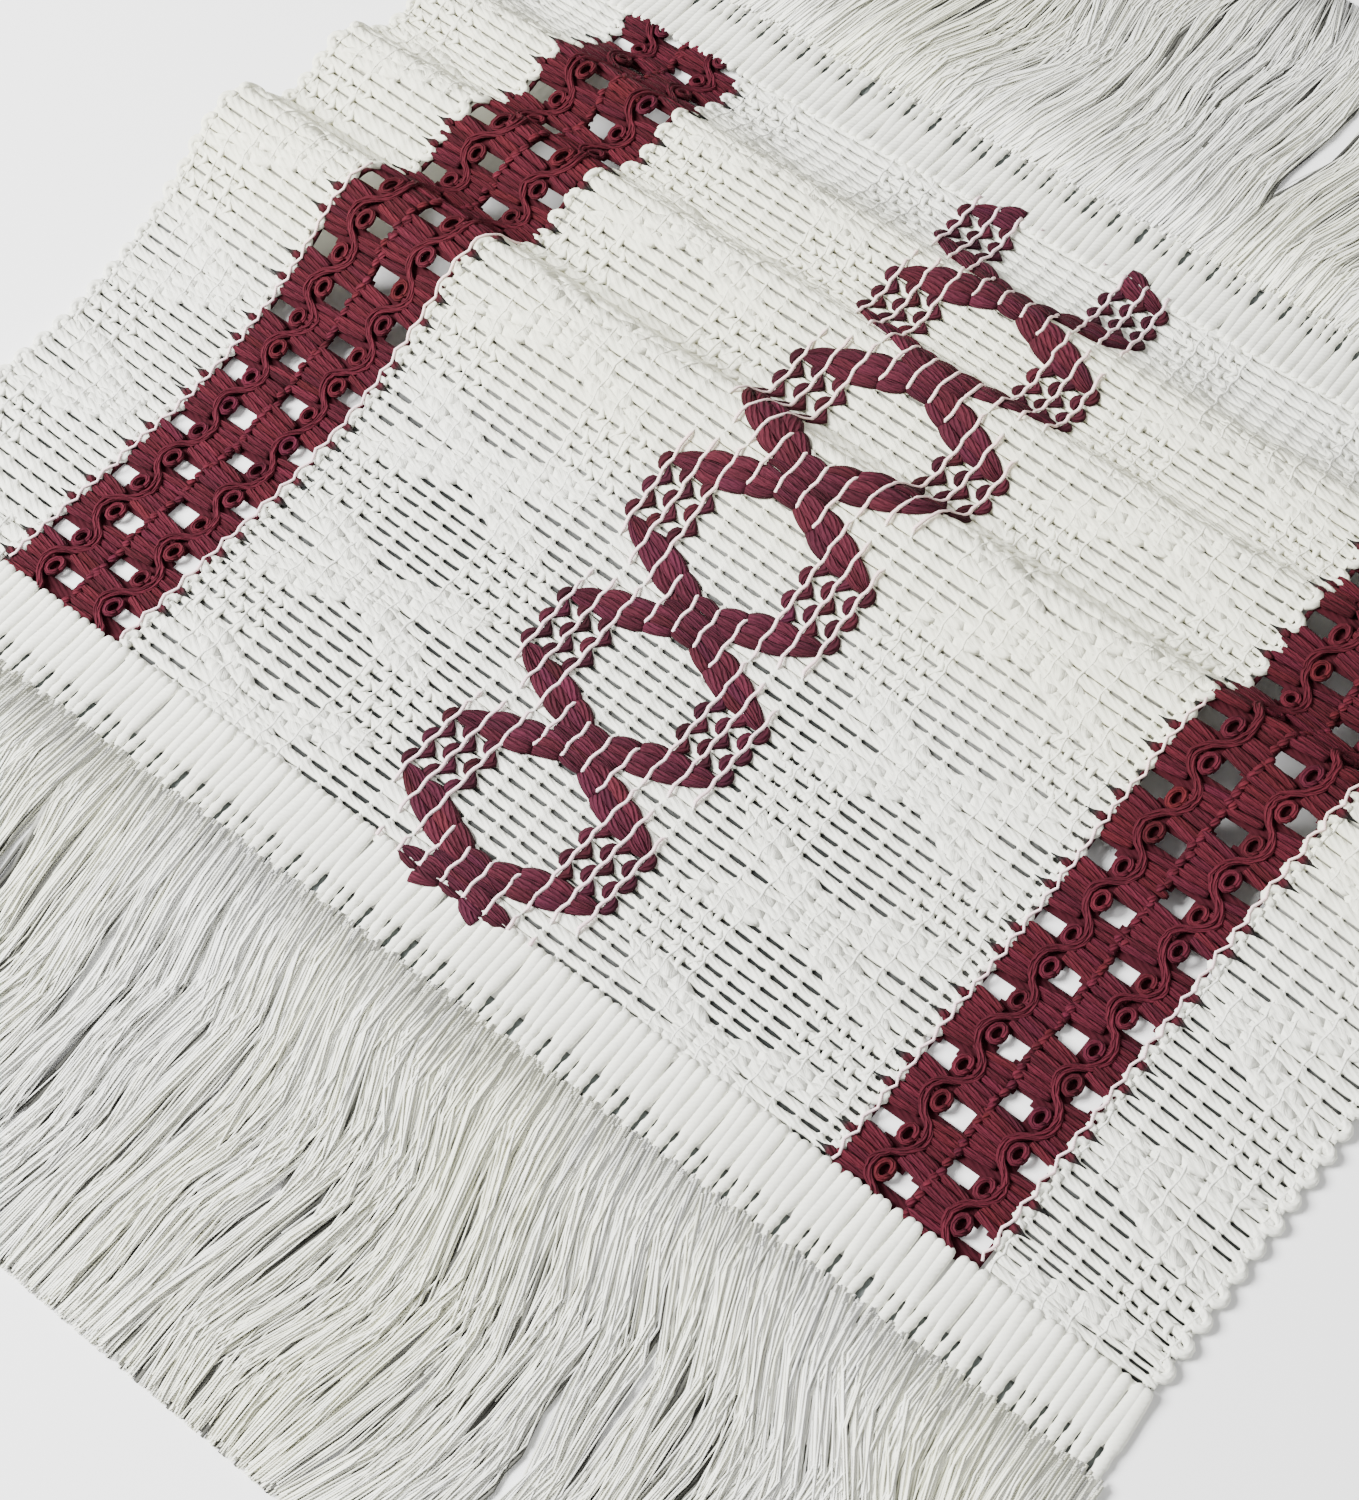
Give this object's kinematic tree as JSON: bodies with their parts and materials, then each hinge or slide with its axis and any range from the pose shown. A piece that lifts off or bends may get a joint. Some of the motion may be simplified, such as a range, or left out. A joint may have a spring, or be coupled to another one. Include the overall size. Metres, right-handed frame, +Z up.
{
  "type": "table runner",
  "caption": "Fringed table runner of cream warp-knit cloth with burgundy openwork bands and ring-chain ornament, lying in soft folds.",
  "frame": {"origin": "middle of the runner's outline seen from above, on the surface it lies on", "axes": "+X across the runner from the left border to the right one, +Y along the bands from the near fringe to the far one, +Z up"},
  "size_m": [0.3768, 0.4786, 0.0221],
  "materials": {
    "cream_cloth": "matte coarse knit",
    "burgundy_band": "matte coarse knotted yarn",
    "fringe_yarn": "soft loose threads"
  },
  "bodies": {
    "root": {"centre_panel": "cream_cloth", "left_border": "cream_cloth", "right_border": "cream_cloth", "left_band": "burgundy_band", "right_band": "burgundy_band", "near_fringe": "fringe_yarn", "far_fringe": "fringe_yarn"}
  },
  "joints": []
}
